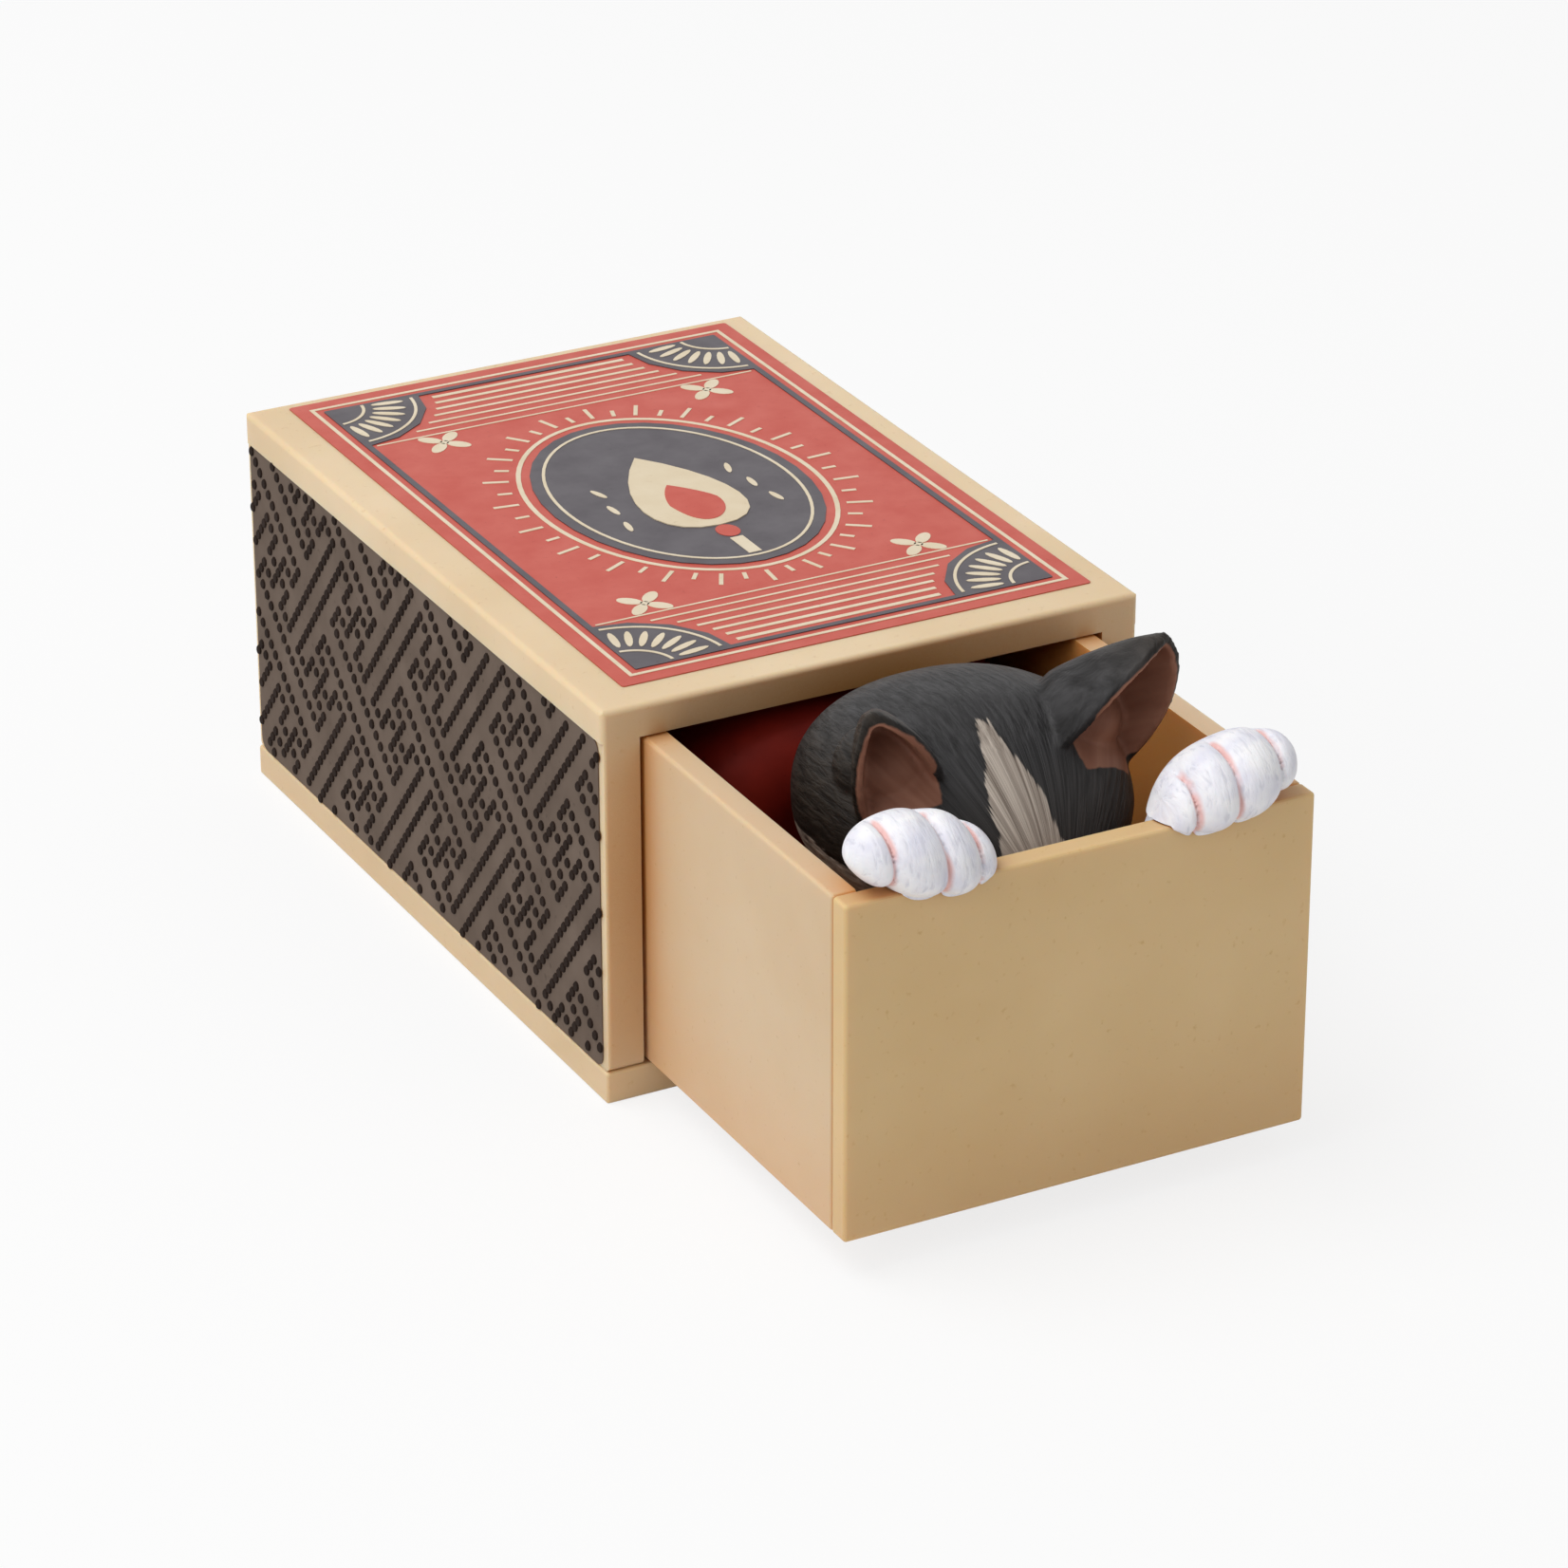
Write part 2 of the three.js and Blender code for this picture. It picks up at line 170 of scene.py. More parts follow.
speckled = mix_colors(surface_group, speck_share, clouded, surface_in.outputs["Cloud Tone"], "MULTIPLY")
rough_sway = map_range(surface_group, clouds.outputs["Fac"], 0.3, 0.7, -0.05, 0.06)
rough_sum = add_node(
    surface_group, "ShaderNodeMath", (), ((surface_in.outputs["Roughness"], 0), (rough_sway, 1)),
)
surface_group.links.new(speckled, surface_out.inputs["Color"])
surface_group.links.new(rough_sum.outputs[0], surface_out.inputs["Roughness"])
surface_group.links.new(grain.outputs["Fac"], surface_out.inputs["Height"])


def clouded_material(name, tone, cloud, cloud_size=120.0, roughness=0.45, bump=0.15, grain=2500.0):
    """A material on the object's own place, with clouded_surface feeding the shader."""
    material = bpy.data.materials.new(name)
    material.use_nodes = True
    tree = material.node_tree
    shader = tree.nodes["Principled BSDF"]
    place = tree.nodes.new("ShaderNodeTexCoord")
    surface = tree.nodes.new("ShaderNodeGroup")
    surface.node_tree = surface_group
    surface.inputs["Tone"].default_value = tone
    surface.inputs["Cloud Tone"].default_value = cloud
    surface.inputs["Cloud Size"].default_value = cloud_size
    surface.inputs["Grain Size"].default_value = grain
    surface.inputs["Roughness"].default_value = roughness
    tree.links.new(place.outputs["Object"], surface.inputs["Place"])
    tree.links.new(surface.outputs["Color"], shader.inputs["Base Color"])
    tree.links.new(surface.outputs["Roughness"], shader.inputs["Roughness"])
    relief = add_node(
        tree, "ShaderNodeBump", (("Strength", bump), ("Distance", 0.00002)),
        ((surface.outputs["Height"], "Height"),),
    )
    tree.links.new(relief.outputs["Normal"], shader.inputs["Normal"])
    return material, tree, shader, surface


def cream_plastic(name, tone, cloud, painted_shade_tone=rgb(196, 140, 88), depth=0.0012):
    material, tree, shader, surface = clouded_material(name, tone, cloud, 90.0, 0.42)
    shader.inputs["Subsurface Weight"].default_value = 0.35
    shader.inputs["Subsurface Radius"].default_value = (1.0, 0.55, 0.25)
    shader.inputs["Subsurface Scale"].default_value = depth
    shader.inputs["Specular IOR Level"].default_value = 0.22
    # Painted shade: where ambient occlusion finds a hollow, the colour turns a warm orange, and less of it
    # low near the floor.
    hollow = tree.nodes.new("ShaderNodeAmbientOcclusion")
    hollow.samples = 8
    hollow.inputs["Distance"].default_value = 0.012
    hollow_shade_share = map_range(tree, hollow.outputs["AO"], 0.35, 0.95, 1.0, 0.0)
    place_socket = surface.inputs["Place"].links[0].from_socket
    heights = add_node(tree, "ShaderNodeSeparateXYZ", (), ((place_socket, 0),))
    above_floor = map_range(tree, heights.outputs["Z"], 0.001, 0.012, 0.35, 1.0)
    painted_shade_share = add_node(tree, "ShaderNodeMath", (), ((hollow_shade_share, 0), (above_floor, 1)))
    painted_shade_share.operation = "MULTIPLY"
    painted_shade_color = mix_colors(tree, painted_shade_share.outputs[0], surface.outputs["Color"], painted_shade_tone)
    tree.links.new(painted_shade_color, shader.inputs["Base Color"])
    return material


def dress(node, material):
    """Give a carried-over CAD node its material."""
    mesh = bpy.data.objects[node].data
    mesh.materials.clear()
    mesh.materials.append(material)


# The fourth colour of each plastic is the warm tone of its painted shade in hollows.
sleeve_cream = cream_plastic("sleeve_cream", rgb(228, 204, 168), rgb(220, 194, 156), rgb(176, 122, 66))
base_cream = cream_plastic("base_cream", rgb(224, 198, 160), rgb(216, 188, 150), rgb(206, 168, 122))
tray_cream = cream_plastic("tray_cream", rgb(216, 190, 156), rgb(210, 182, 146), rgb(212, 140, 70))
# Painted shade: the drawer's front takes a darker, yellower copy of the same cream plastic, for the shade on
# its face.
front_cream_shaded = cream_plastic("front_cream_shaded", rgb(222, 192, 144), rgb(216, 184, 134))
dress("sleeve_cover", sleeve_cream)
dress("base_plate", base_cream)
dress("drawer_tray", tray_cream)
dress("drawer_front", front_cream_shaded)


# Striker panels
# Each side wall carries a coat of brown striker paint, and on it a key-fret in dots of thick dark ink.
# The dots lie on a square net that leans by about forty degrees, and stand out by a tenth of a millimetre.
striker_coat = 0.07 * MM
dot_rise = 0.1 * MM
dot_radius = 0.33 * MM
dot_sides = 9
dot_stretch = (1.18, 0.95)
dot_top_share = 0.8
net_tilt = math.radians(-40.3)
net_step_down = 0.796 * MM
net_step_up = 0.752 * MM
net_start_across = 14.68 * MM
net_start_height = 17.88 * MM
net_repeat = (10, 11)
fret_strokes = (
    (0, 0, 14, 0), (0, 3, 14, 3), (16, -6, 16, 9), (18, -6, 18, 9),
    (0, -4, 4, -4), (2, -6, 2, -2), (10, -4, 14, -4), (12, -6, 12, -2),
    (0, -4, 0, -6), (0, -6, -2, -6), (4, -4, 4, -2), (4, -2, 6, -2),
    (2, -6, 4, -6), (4, -6, 4, -8), (2, -2, 0, -2), (0, -2, 0, 0),
    (14, -4, 14, -6), (14, -6, 16, -6), (10, -4, 10, -2), (10, -2, 8, -2),
    (12, -6, 10, -6), (10, -6, 10, -8), (12, -2, 14, -2), (14, -2, 14, 0),
)


def finish_mesh(name, shape, body, material, smooth=True):
    """Turn a bmesh into an object at the origin that rides on a body."""
    mesh = bpy.data.meshes.new(name)
    bmesh.ops.recalc_face_normals(shape, faces=shape.faces[:])
    shape.to_mesh(mesh)
    shape.free()
    for polygon in mesh.polygons:
        polygon.use_smooth = smooth
    mesh.materials.append(material)
    piece = bpy.data.objects.new(name, mesh)
    bpy.context.collection.objects.link(piece)
    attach(piece, body)
    return piece


def fret_points():
    """Every net crossing that holds a dot, as steps down and steps across the net."""
    points = set()
    for c0, r0, c1, r1 in fret_strokes:
        steps = max(abs(c1 - c0), abs(r1 - r0))
        for k in range(steps + 1):
            points.add((c0 + (c1 - c0) * k // steps, r0 + (r1 - r0) * k // steps))
    spread = set()
    for m in range(-7, 8):
        for n in range(-7, 8):
            for c, r in points:
                spread.add((c + (m + n) * net_repeat[0], r + (m - n) * net_repeat[1]))
    return spread


striker_ground, _, ground_shader, _ = clouded_material(
    "striker_ground", rgb(110, 95, 84), rgb(98, 84, 74), 260.0, 0.75, 0.5, 1800.0,
)
ground_shader.inputs["Specular IOR Level"].default_value = 0.14
striker_ink, _, ink_shader, _ = clouded_material(
    "striker_ink", rgb(42, 30, 24), rgb(34, 24, 19), 300.0, 0.7, 0.3, 1800.0,
)
ink_shader.inputs["Specular IOR Level"].default_value = 0.07
sleeve_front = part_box("sleeve_cover")[0][1]
panel_corner = 0.8 * MM
corner_steps = 5


def striker_panel(name, side, node):
    low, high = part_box(node)
    half_length = (high[1] - low[1]) / 2
    half_height = (high[2] - low[2]) / 2
    middle = Vector(((low[0] + high[0]) / 2, (low[1] + high[1]) / 2, (low[2] + high[2]) / 2))
    inner = low[0] if side > 0 else high[0]
    turn = Matrix(((0, 0, side), (side, 0, 0), (0, 1, 0))).to_4x4()
    place = Matrix.Translation((inner, middle.y, middle.z)) @ turn
    shape = bmesh.new()
    corners = [
        shape.verts.new((x * half_length, y * half_height, 0))
        for x, y in ((-1, -1), (1, -1), (1, 1), (-1, 1))
    ]
    shape.faces.new(corners)
    bmesh.ops.bevel(
        shape, geom=corners, offset=panel_corner, segments=corner_steps, profile=0.5,
        affect="VERTICES", material=-1,
    )
    raised = bmesh.ops.extrude_face_region(shape, geom=shape.faces[:])
    lifted = [item for item in raised["geom"] if isinstance(item, bmesh.types.BMVert)]
    bmesh.ops.translate(shape, verts=lifted, vec=(0, 0, striker_coat))
    start_x = half_length + low[1] - sleeve_front - net_start_across
    start_y = net_start_height - middle.z
    for c, r in fret_points():
        x = start_x + c * net_step_down * math.cos(net_tilt) + r * net_step_up * math.sin(net_tilt)
        y = start_y + c * net_step_down * math.sin(net_tilt) - r * net_step_up * math.cos(net_tilt)
        if abs(x) > half_length - dot_radius * 0.3 or abs(y) > half_height - dot_radius * 0.6:
            continue
        before = set(shape.faces)
        dot_place = Matrix.Translation((x, y, striker_coat + dot_rise / 2))
        dot_turn = Matrix.Rotation(math.atan2(-math.cos(net_tilt), math.sin(net_tilt)), 4, "Z")
        bmesh.ops.create_cone(
            shape, cap_ends=True, segments=dot_sides, radius1=dot_radius, radius2=dot_radius * dot_top_share,
            depth=dot_rise, matrix=dot_place @ dot_turn @ Matrix.Diagonal((*dot_stretch, 1, 1)),
        )
        for face in set(shape.faces) - before:
            face.material_index = 1
    bmesh.ops.transform(shape, matrix=place, verts=shape.verts)
    panel = finish_mesh(name, shape, "sleeve", striker_ground, smooth=False)
    panel.data.materials.append(striker_ink)
    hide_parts(node)
    return panel


striker_panel("striker_dots_left", -1, "striker_left")
striker_panel("striker_dots_right", 1, "striker_right")


# Printed label
# Red, dark grey and cream inks lie one on another on the top plate, each a thin film.
# Each ink is stamped on with a soft pad, so its colour is a little cloudy.
label_inks = {
    "label_red_print": ("label_red_ink", rgb(194, 78, 60), rgb(186, 70, 54)),
    "label_dark_frame": ("label_dark_ink", rgb(74, 68, 74), rgb(66, 60, 66)),
    "label_medallion": ("label_oval_ink", rgb(74, 68, 74), rgb(66, 60, 66)),
    "label_flame": ("label_cream_ink", rgb(222, 206, 176), rgb(214, 196, 164)),
}
for node, (ink_name, tone, cloud) in label_inks.items():
    dress(node, clouded_material(ink_name, tone, cloud, 400.0, 0.45, 0.1, 3000.0)[0])


# Fine print on the label
# Thin lines, rays, stripes and small flowers lie over the three inks, in cream and in red, each a thin film.
# They make a plain ornament round a match and its flame.
print_film = 0.03 * MM
label_low, label_high = (Vector(corner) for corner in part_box("label_red_print"))
label_middle = (label_low + label_high) / 2
frame_low, frame_high = (Vector(corner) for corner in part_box("label_dark_frame"))
frame_half = (frame_high - frame_low) / 2
oval_low, oval_high = (Vector(corner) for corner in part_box("label_medallion"))
oval_half = (oval_high - oval_low) / 2
flame_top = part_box("label_flame")[1][2]
border_gap, border_line = 0.55 * MM, 0.13 * MM
fan_radius = 6.4 * MM
fan_arcs, fan_line, fan_margin = (5.75 * MM, 2.5 * MM), 0.2 * MM, 0.09
fan_petals, fan_petal_reach, fan_petal_half = 7, 4.1 * MM, (1.05 * MM, 0.24 * MM)
flower_across, flower_along = 9.1 * MM, 13.7 * MM
flower_petals, flower_petal_reach, flower_petal_half = 4, 0.95 * MM, (0.8 * MM, 0.42 * MM)
flower_heart = (0.28 * MM, 0.28 * MM)
stripe_count, stripe_gap, stripe_first, stripe_end = 7, 0.92, 1.0, 0.7 * MM
ring_inner, ring_outer = 0.55 * MM, 0.85 * MM
inner_line_outer, inner_line_inner = 0.75 * MM, 0.95 * MM
ring_steps = 72
ray_count, ray_line = 44, 0.13 * MM
ray_reaches, ray_halves = (2.1 * MM, 1.75 * MM), (0.8 * MM, 0.45 * MM)
stick_below, stick_half = 9.0 * MM, (0.42 * MM, 1.25 * MM)
match_head_below, match_head_half = 6.68 * MM, (0.72 * MM, 0.9 * MM)
inner_flame_below, inner_flame_half = 1.9 * MM, (1.6 * MM, 2.9 * MM)
spark_half = (0.2 * MM, 0.75 * MM)


def lay_print(shape, verts, bottom):
    """Give a flat outline its film, lying on the ink below it."""
    faces = list({face for vert in verts for face in vert.link_faces})
    for vert in verts:
        vert.co.z = bottom
    raised = bmesh.ops.extrude_face_region(shape, geom=faces, use_keep_orig=True)
    lifted = [item for item in raised["geom"] if isinstance(item, bmesh.types.BMVert)]
    bmesh.ops.translate(shape, vec=(0, 0, print_film), verts=lifted)


def print_bar(shape, centre, half, turn, bottom):
    made = bmesh.ops.create_grid(shape, x_segments=1, y_segments=1, size=1)["verts"]
    bmesh.ops.scale(shape, vec=(half[0], half[1], 1), verts=made)
    bmesh.ops.rotate(shape, cent=(0, 0, 0), matrix=Matrix.Rotation(turn, 3, "Z"), verts=made)
    bmesh.ops.translate(shape, vec=(centre[0], centre[1], 0), verts=made)
    lay_print(shape, made, bottom)


def print_oval(shape, centre, half, turn, bottom, segments=24):
    made = bmesh.ops.create_circle(shape, cap_ends=True, radius=1, segments=segments)["verts"]
    bmesh.ops.scale(shape, vec=(half[0], half[1], 1), verts=made)
    bmesh.ops.rotate(shape, cent=(0, 0, 0), matrix=Matrix.Rotation(turn, 3, "Z"), verts=made)
    bmesh.ops.translate(shape, vec=(centre[0], centre[1], 0), verts=made)
    lay_print(shape, made, bottom)


def print_arc(shape, centre, inner, outer, start, angle, bottom, steps=16):
    """An arc between two ellipses that share a centre; inner and outer are half-sizes."""
    ends = [shape.verts.new((share, 0, 0)) for share in (0.0, 1.0)]
    edge = shape.edges.new(ends)
    spun = bmesh.ops.spin(
        shape, geom=[edge, *ends], cent=(-1, 0, 0), axis=(0, 0, 1), angle=angle, steps=steps,
        use_duplicate=False,
    )
    made = {item for item in spun["geom_last"] if isinstance(item, bmesh.types.BMVert)}
    pending = set(ends) | made
    while pending:
        vert = pending.pop()
        made.add(vert)
        pending |= {edge.other_vert(vert) for edge in vert.link_edges} - made
    for vert in made:
        across = Vector((vert.co.x + 1, vert.co.y))
        share = across.length - 1
        turn = math.atan2(across.y, across.x) + start
        half_x = inner[0] + (outer[0] - inner[0]) * share
        half_y = inner[1] + (outer[1] - inner[1]) * share
        vert.co = (centre[0] + half_x * math.cos(turn), centre[1] + half_y * math.sin(turn), 0)
    bmesh.ops.remove_doubles(shape, verts=list(made), dist=1e-7)
    lay_print(shape, [vert for vert in made if vert.is_valid], bottom)


def print_flame(shape, centre, half, bottom):
    made = bmesh.ops.create_circle(shape, cap_ends=True, radius=1, segments=40)["verts"]
    for vert in made:
        waist = 1.0 if vert.co.y < 0 else (1 - vert.co.y) ** 0.45
        sway = 0.12 * math.sin(2.2 * (vert.co.y + 1))
        vert.co.x = half[0] * (vert.co.x * waist + sway) + centre[0]
        vert.co.y = half[1] * vert.co.y + centre[1]
    lay_print(shape, made, bottom)


on_red, on_dark, on_cream = label_high.z, oval_high.z, flame_top
cream_print = bmesh.new()
red_print = bmesh.new()
middle_x, middle_y = label_middle.x, label_middle.y
border_x, border_y = frame_half.x + border_gap, frame_half.y + border_gap
for side in (-1, 1):
    print_bar(
        cream_print, (middle_x, middle_y + side * border_y), (border_x + border_line, border_line), 0, on_red,
    )
    print_bar(
        cream_print, (middle_x + side * border_x, middle_y), (border_line, border_y - border_line), 0, on_red,
    )
for side_x in (-1, 1):
    for side_y in (-1, 1):
        corner = (middle_x + side_x * frame_half.x, middle_y + side_y * frame_half.y)
        start = {(-1, -1): 0, (1, -1): math.pi / 2, (1, 1): math.pi, (-1, 1): -math.pi / 2}[side_x, side_y]
        for radius in fan_arcs:
            inner, outer = radius - fan_line / 2, radius + fan_line / 2
            print_arc(
                cream_print, corner, (inner, inner), (outer, outer),
                start + fan_margin, math.pi / 2 - 2 * fan_margin, on_dark,
            )
        for step in range(fan_petals):
            turn = start + math.radians(9 + 12 * step)
            place = (
                corner[0] + fan_petal_reach * math.cos(turn),
                corner[1] + fan_petal_reach * math.sin(turn),
            )
            print_oval(cream_print, place, fan_petal_half, turn, on_dark, 12)
        flower_x, flower_y = middle_x + side_x * flower_across, middle_y + side_y * flower_along
        for step in range(flower_petals):
            turn = math.radians(45 + 90 * step)
            place = (
                flower_x + flower_petal_reach * math.cos(turn),
                flower_y + flower_petal_reach * math.sin(turn),
            )
            print_oval(cream_print, place, flower_petal_half, turn, on_red, 16)
        print_oval(cream_print, (flower_x, flower_y), flower_heart, 0, on_red, 12)
for side in (-1, 1):
    for step in range(stripe_count):
        inset = (stripe_first + stripe_gap * step) * MM
        reach = math.sqrt(max(0.0, fan_radius ** 2 - inset ** 2))
        half = frame_half.x - reach - stripe_end
        line = (0.17 - 0.016 * step) * MM
        print_bar(
            cream_print, (middle_x, middle_y + side * (frame_half.y - inset)), (half, line), 0, on_red,
        )
print_arc(
    cream_print, (middle_x, middle_y),
    (oval_half.x + ring_inner, oval_half.y + ring_inner),
    (oval_half.x + ring_outer, oval_half.y + ring_outer),
    0, 2 * math.pi, on_red, ring_steps,
)
for step in range(ray_count):
    turn = 2 * math.pi * (step + 0.5) / ray_count
    reach = ray_reaches[step % 2]
    place = (
        middle_x + (oval_half.x + reach) * math.cos(turn), middle_y + (oval_half.y + reach) * math.sin(turn),
    )
    lean = math.atan2(oval_half.x * math.sin(turn), oval_half.y * math.cos(turn))
    print_bar(cream_print, place, (ray_halves[step % 2], ray_line), lean, on_red)
print_arc(
    cream_print, (middle_x, middle_y),
    (oval_half.x - inner_line_inner, oval_half.y - inner_line_inner),
    (oval_half.x - inner_line_outer, oval_half.y - inner_line_outer),
    0, 2 * math.pi, on_dark, ring_steps,
)
print_bar(cream_print, (middle_x, middle_y - stick_below), stick_half, 0, on_dark)
print_oval(red_print, (middle_x, middle_y - match_head_below), match_head_half, 0, on_dark, 20)
print_flame(red_print, (middle_x, middle_y - inner_flame_below), inner_flame_half, on_cream)
for side in (-1, 1):
    for step in range(3):
        place = (middle_x + side * (5.0 - 0.3 * step) * MM, middle_y + (-3.4 + 2.6 * step) * MM)
        turn = side * math.radians(-12 * step + 8)
        print_oval(cream_print, place, spark_half, turn, on_dark, 12)
fine_cream = clouded_material("fine_cream", rgb(226, 212, 186), rgb(216, 200, 170), 500.0, 0.5, 0.1)[0]
fine_red = clouded_material("fine_red", rgb(194, 78, 60), rgb(186, 70, 54), 500.0, 0.5, 0.1)[0]
finish_mesh("label_fine_cream", cream_print, "sleeve", fine_cream, smooth=False)
finish_mesh("label_fine_red", red_print, "sleeve", fine_red, smooth=False)


# Cat's head
# Head, ears, muzzle and chest are one vinyl moulding with combed fur cut into it, painted black with a white
# blaze, brown ears inside and a white chest. It stands on the drawer's floor behind the front.
def egg(shape, centre, halves, segments=48, rings=32):
    made = bmesh.ops.create_uvsphere(shape, u_segments=segments, v_segments=rings, radius=1)
    bmesh.ops.scale(shape, vec=Vector(halves) * MM, verts=made["verts"])
    bmesh.ops.translate(shape, vec=Vector(centre) * MM, verts=made["verts"])
    return made["verts"]


def fused(name, shape, voxel, rounds):
    """Melt overlapping closed shells into one skin, then smooth the seams between them."""
    mesh = bpy.data.meshes.new(name)
    bmesh.ops.recalc_face_normals(shape, faces=shape.faces[:])
    shape.to_mesh(mesh)
    shape.free()
    source = bpy.data.objects.new(name + "_source", mesh)
    bpy.context.collection.objects.link(source)
    melt = source.modifiers.new("melt", "REMESH")
    melt.mode = "VOXEL"
    melt.voxel_size = voxel
    bpy.context.view_layer.update()
    skin = bpy.data.meshes.new_from_object(source.evaluated_get(bpy.context.evaluated_depsgraph_get()))
    bpy.data.objects.remove(source)
    melted = bmesh.new()
    melted.from_mesh(skin)
    for _ in range(rounds):
        bmesh.ops.smooth_vert(
            melted, verts=melted.verts, factor=0.5, use_axis_x=True, use_axis_y=True, use_axis_z=True,
        )
    return melted


def add_values(mesh, name, kind, values):
    layer = mesh.attributes.new(name, kind, "POINT")
    for item, value in zip(layer.data, values):
        if kind == "FLOAT":
            item.value = value
        else:
            item.vector = value


def soft_step(value, low, high):
    share = min(1.0, max(0.0, (value - low) / (high - low)))
    return share * share * (3 - 2 * share)


skull_centre = Vector((0, -35.2, 20.5))
skull_halves = Vector((9.4, 9.1, 6.25))
forehead_slope = 4.2
ear_front = Vector((4.4, -40.8, 25.3))
ear_outer = Vector((8.9, -39.1, 22.5))
ear_rear = Vector((6.0, -35.4, 26.2))
ear_tip = Vector((9.4, -41.4, 30.0))
ear_wall = 0.62
ear_root = ((6.0, -36.9, 24.4), (2.9, 2.7, 2.3))
muzzle = ((0, -43.7, 15.3), (4.2, 3.0, 3.2))
jaw = ((0, -35.6, 16.3), (8.4, 8.2, 6))
chest = ((0, -33.6, 9.65), (6.8, 6.6, 10))
skull_fullness = 2.3
head_front, head_rear = -47.1 * MM, -26.85 * MM
head_voxel = 0.17 * MM

head_shape = bmesh.new()
skull = egg(head_shape, (0, 0, 0), (1, 1, 1), 64, 48)
for vert in skull:
    unit = vert.co / MM
    size = sum(abs(part) ** skull_fullness for part in unit) ** (1 / skull_fullness)
    unit = unit / size
    place = Vector(part * half for part, half in zip(unit, skull_halves))
    if unit.y < 0 and unit.z > 0:
        place.y += forehead_slope * -unit.y * unit.z
    vert.co = (skull_centre + place) * MM
for centre, halves in (muzzle, jaw, chest):
    egg(head_shape, centre, halves)
ear_surfaces = []
for side in (-1, 1):
    centre = (ear_front + ear_outer + ear_rear) / 3
    control = 2 * ear_rear - (ear_front + ear_outer) / 2
    made = bmesh.ops.create_grid(head_shape, x_segments=20, y_segments=24, size=0.5)
    for vert in made["verts"]:
        u, v = vert.co.x + 0.5, vert.co.y + 0.5
        base = ear_front * (1 - u) ** 2 + control * 2 * u * (1 - u) + ear_outer * u ** 2
        height = 1.6 * v - 0.6
        rise = max(height, 0)
        narrow, wide = max(0.0, 1 - rise ** 1.1) ** 0.85, max(0.0, 1 - rise ** 2) ** 0.65
        width = narrow + (wide - narrow) * abs(2 * u - 1)
        place = centre + (ear_tip - centre) * height + (base - centre) * width
        place += (centre - ear_tip).normalized() * 0.25 * max(0, height - 0.8)
        vert.co = Vector((side * place.x, place.y, place.z)) * MM
    faces = list({face for vert in made["verts"] for face in vert.link_faces})
    bmesh.ops.recalc_face_normals(head_shape, faces=faces)
    ear_surface = bmesh.new()
    corners = {vert: ear_surface.verts.new(vert.co) for vert in made["verts"]}
    for face in faces:
        ear_surface.faces.new([corners[vert] for vert in face.verts])
    ear_surfaces.append(ear_surface)
    bmesh.ops.solidify(head_shape, geom=faces, thickness=ear_wall * MM)
    root_centre, root_halves = ear_root
    egg(head_shape, (side * root_centre[0], root_centre[1], root_centre[2]), root_halves)

head_skin = fused("cat_head_skin", head_shape, head_voxel, 4)
floor_level = 3.7 * MM
for vert in head_skin.verts:
    vert.co.z = max(vert.co.z, floor_level)
    vert.co.y = min(max(vert.co.y, head_front), head_rear)

fur_values, inner_values, white_values = [], [], []
ear_trees = [BVHTree.FromBMesh(surface) for surface in ear_surfaces]
head_skin.normal_update()
for vert in head_skin.verts:
    place = vert.co / MM
    around = math.atan2(place.x, place.z - 17)
    along = place.y + 0.6 * abs(place.x)
    if place.y < -38 and place.z < 25:
        along += 1.2 * (25 - place.z) * soft_step(-38 - place.y, 0, 3)
    fur_values.append((around * 9, along, 0.35 * place.x))
    inner = 0.0
    side = 0 if place.x < 0 else 1
    sign = 1 if side else -1
    mirrored = Vector((sign * place.x, place.y, place.z))
    edge_a, edge_b = ear_tip - ear_front, ear_outer - ear_front
    opening = edge_b.cross(edge_a).normalized()
    if opening.y > 0:
        opening.negate()
    depth = (mirrored - ear_front).dot(opening)
    distance = ear_trees[side].find_nearest(vert.co)[3]
    flat = mirrored - ear_front - opening * depth
    share_b = edge_a.cross(flat).dot(opening) / edge_a.cross(edge_b).dot(opening)
    share_a = edge_b.cross(flat).dot(opening) / edge_b.cross(edge_a).dot(opening)
    if share_a < 0:
        inside = ((share_b - 0.56) / 0.44) ** 2 + (share_a / 0.3) ** 2 < 1
    else:
        inside = share_b > 0.12 - 1.2 * min(0.35, share_a) and share_a + share_b < 1.4
    if inside and distance < 3.2 * MM and depth < 0.9:
        pocket = (ear_front + ear_outer + ear_tip) / 3 + opening * 1.6
        pocket = Vector((sign * pocket.x, pocket.y, pocket.z)) * MM
        sight = (pocket - vert.co).normalized()
        start = vert.co + sight * 0.3 * MM
        if ear_trees[side].ray_cast(start, sight, (pocket - start).length)[0] is None:
            inner = soft_step(vert.normal.dot(sight), -0.05, 0.15)
    inner_values.append(inner)
    blaze_half = 0.45 + 1.25 * soft_step(26.3 - place.z, 0, 3.6) + 1.3 * soft_step(22 - place.z, 0, 4)
    blaze = (1 - soft_step(abs(place.x + 0.45), blaze_half - 0.25, blaze_half + 0.3)) * (place.y < -33)
    blaze *= soft_step(26.4 - place.z, 0, 0.5)
    cheek = soft_step(19.2 - place.z + 0.25 * (abs(place.x) - 7), 0, 0.9)
    white_values.append(max(blaze, cheek))

head_skin.verts.index_update()
for _ in range(3):
    inner_values = [
        0.5 * inner_values[vert.index]
        + 0.5 * sum(inner_values[edge.other_vert(vert).index] for edge in vert.link_edges)
        / max(1, len(vert.link_edges)) for vert in head_skin.verts
    ]

